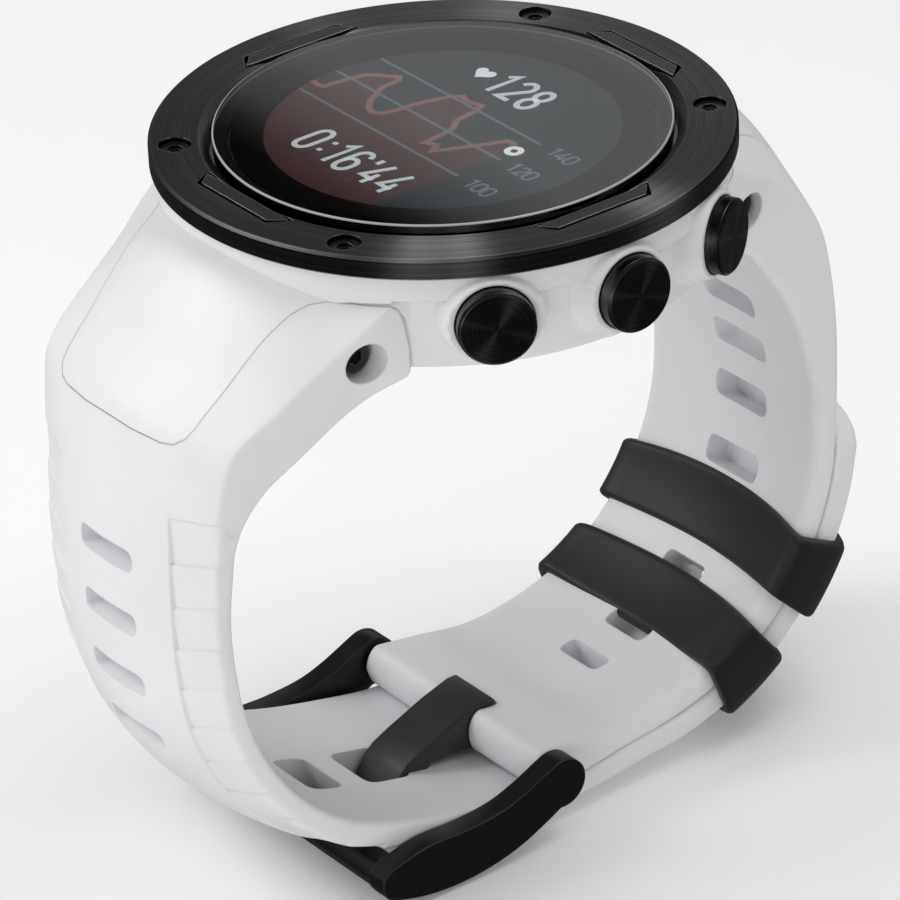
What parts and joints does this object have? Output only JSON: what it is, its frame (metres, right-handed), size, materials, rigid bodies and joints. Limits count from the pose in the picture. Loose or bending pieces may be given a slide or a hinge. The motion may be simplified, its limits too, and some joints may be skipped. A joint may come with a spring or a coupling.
{
  "type": "gps running watch",
  "caption": "Round sports watch with black metal bezel, side pushers and white case, its white rubber strap closed by a black pin buckle and two keeper loops.",
  "frame": {"origin": "centre of the sensor window's outer face on the case back", "axes": "+Z out of the display, +X towards 3 o'clock where three pushers are, +Y towards 12 o'clock"},
  "size_m": [0.0474, 0.0671, 0.0593],
  "materials": {
    "bezel_black_steel": "black coated, circular brushing",
    "screw_black_steel": "black coated",
    "cover_glass": "polished, tinted",
    "seal_rubber": "matte",
    "mask_black": "printed black",
    "display_surface": "transflective display face",
    "module_metal": "satin",
    "antenna_brass": "satin",
    "case_white_polymer": "satin white",
    "back_black_polymer": "fine matte",
    "contact_steel": "satin",
    "plain_steel": "satin",
    "sensor_dark_glass": "polished, dark",
    "board_green": "solder mask",
    "light_epoxy": "clear epoxy",
    "battery_foil": "foil pouch",
    "chip_black": "moulded",
    "flex_amber": "polyimide film",
    "pusher_black_steel": "black coated, turned face",
    "strap_white_silicone": "satin white silicone",
    "keeper_black_rubber": "satin",
    "buckle_black_metal": "satin black coating",
    "pin_dark_steel": "satin"
  },
  "bodies": {
    "watch": {"bezel": "bezel_black_steel", "bezel_inserts": "bezel_black_steel", "bezel_screws": "screw_black_steel", "lens": "cover_glass", "lens_gasket": "seal_rubber", "display_mask": "mask_black", "display_panel": "display_surface", "display_module": "module_metal", "antenna_ring": "antenna_brass", "mid_case": "case_white_polymer", "case_back": "back_black_polymer", "charging_contacts": "contact_steel", "case_back_gasket": "seal_rubber", "case_back_screws": "plain_steel", "sensor_window": "sensor_dark_glass", "sensor_board": "board_green", "sensor_lights": "light_epoxy", "battery": "battery_foil", "main_board": "board_green", "board_shield": "plain_steel", "board_chips": "chip_black", "display_flex": "flex_amber", "sensor_flex": "flex_amber", "vibration_motor": "plain_steel", "pusher_seals": "seal_rubber", "pusher_springs": "plain_steel", "pusher_switches": "chip_black", "strap_hole_side": "strap_white_silicone", "strap_buckle_side": "strap_white_silicone", "lug_bars": "plain_steel", "lug_screws": "screw_black_steel", "buckle_pin": "pin_dark_steel"},
    "pusher_upper_right": {"pusher_upper_right": "pusher_black_steel", "pusher_clip_upper_right": "plain_steel"},
    "pusher_middle_right": {"pusher_middle_right": "pusher_black_steel", "pusher_clip_middle_right": "plain_steel"},
    "pusher_lower_right": {"pusher_lower_right": "pusher_black_steel", "pusher_clip_lower_right": "plain_steel"},
    "pusher_upper_left": {"pusher_upper_left": "pusher_black_steel", "pusher_clip_upper_left": "plain_steel"},
    "pusher_lower_left": {"pusher_lower_left": "pusher_black_steel", "pusher_clip_lower_left": "plain_steel"},
    "keeper_upper": {"keeper_upper": "keeper_black_rubber"},
    "keeper_lower": {"keeper_lower": "keeper_black_rubber"},
    "buckle_frame": {"buckle_frame": "buckle_black_metal"},
    "buckle_tongue": {"buckle_tongue": "buckle_black_metal"},
    "vibration_weight": {"vibration_weight": "plain_steel"}
  },
  "joints": [
    {"name": "pusher_upper_right_press", "type": "slide", "parent": "watch", "child": "pusher_upper_right", "axis": [-0.8829, -0.4695, 0], "range_m": [0, 0.0006]},
    {"name": "pusher_middle_right_press", "type": "slide", "parent": "watch", "child": "pusher_middle_right", "axis": [-1, 0, 0], "range_m": [0, 0.0006]},
    {"name": "pusher_lower_right_press", "type": "slide", "parent": "watch", "child": "pusher_lower_right", "axis": [-0.8829, 0.4695, 0], "range_m": [0, 0.0006]},
    {"name": "pusher_upper_left_press", "type": "slide", "parent": "watch", "child": "pusher_upper_left", "axis": [0.8829, -0.4695, 0], "range_m": [0, 0.0006]},
    {"name": "pusher_lower_left_press", "type": "slide", "parent": "watch", "child": "pusher_lower_left", "axis": [0.8829, 0.4695, 0], "range_m": [0, 0.0006]},
    {"name": "keeper_upper_slide", "type": "hinge", "parent": "watch", "child": "keeper_upper", "pos_m": [0, 0.0093, -0.0187], "axis": [1, 0, 0], "range_deg": [-4, 15]},
    {"name": "keeper_lower_slide", "type": "hinge", "parent": "watch", "child": "keeper_lower", "pos_m": [0, 0.0093, -0.0187], "axis": [1, 0, 0], "range_deg": [-10, 4]},
    {"name": "buckle_turn", "type": "hinge", "parent": "watch", "child": "buckle_frame", "pos_m": [0, -0.0009, -0.0389], "axis": [1, 0, 0], "range_deg": [0, 4]},
    {"name": "tongue_turn", "type": "hinge", "parent": "watch", "child": "buckle_tongue", "pos_m": [0, -0.0009, -0.0389], "axis": [1, 0, 0], "range_deg": [0, 4]},
    {"name": "vibration_spin", "type": "hinge", "parent": "watch", "child": "vibration_weight", "pos_m": [0.0146, 0, 0.0066], "axis": [0, 0, 1], "continuous": true}
  ],
  "couplings": [
    {"joint": "tongue_turn", "follows": "buckle_turn", "ratio": 1}
  ]
}
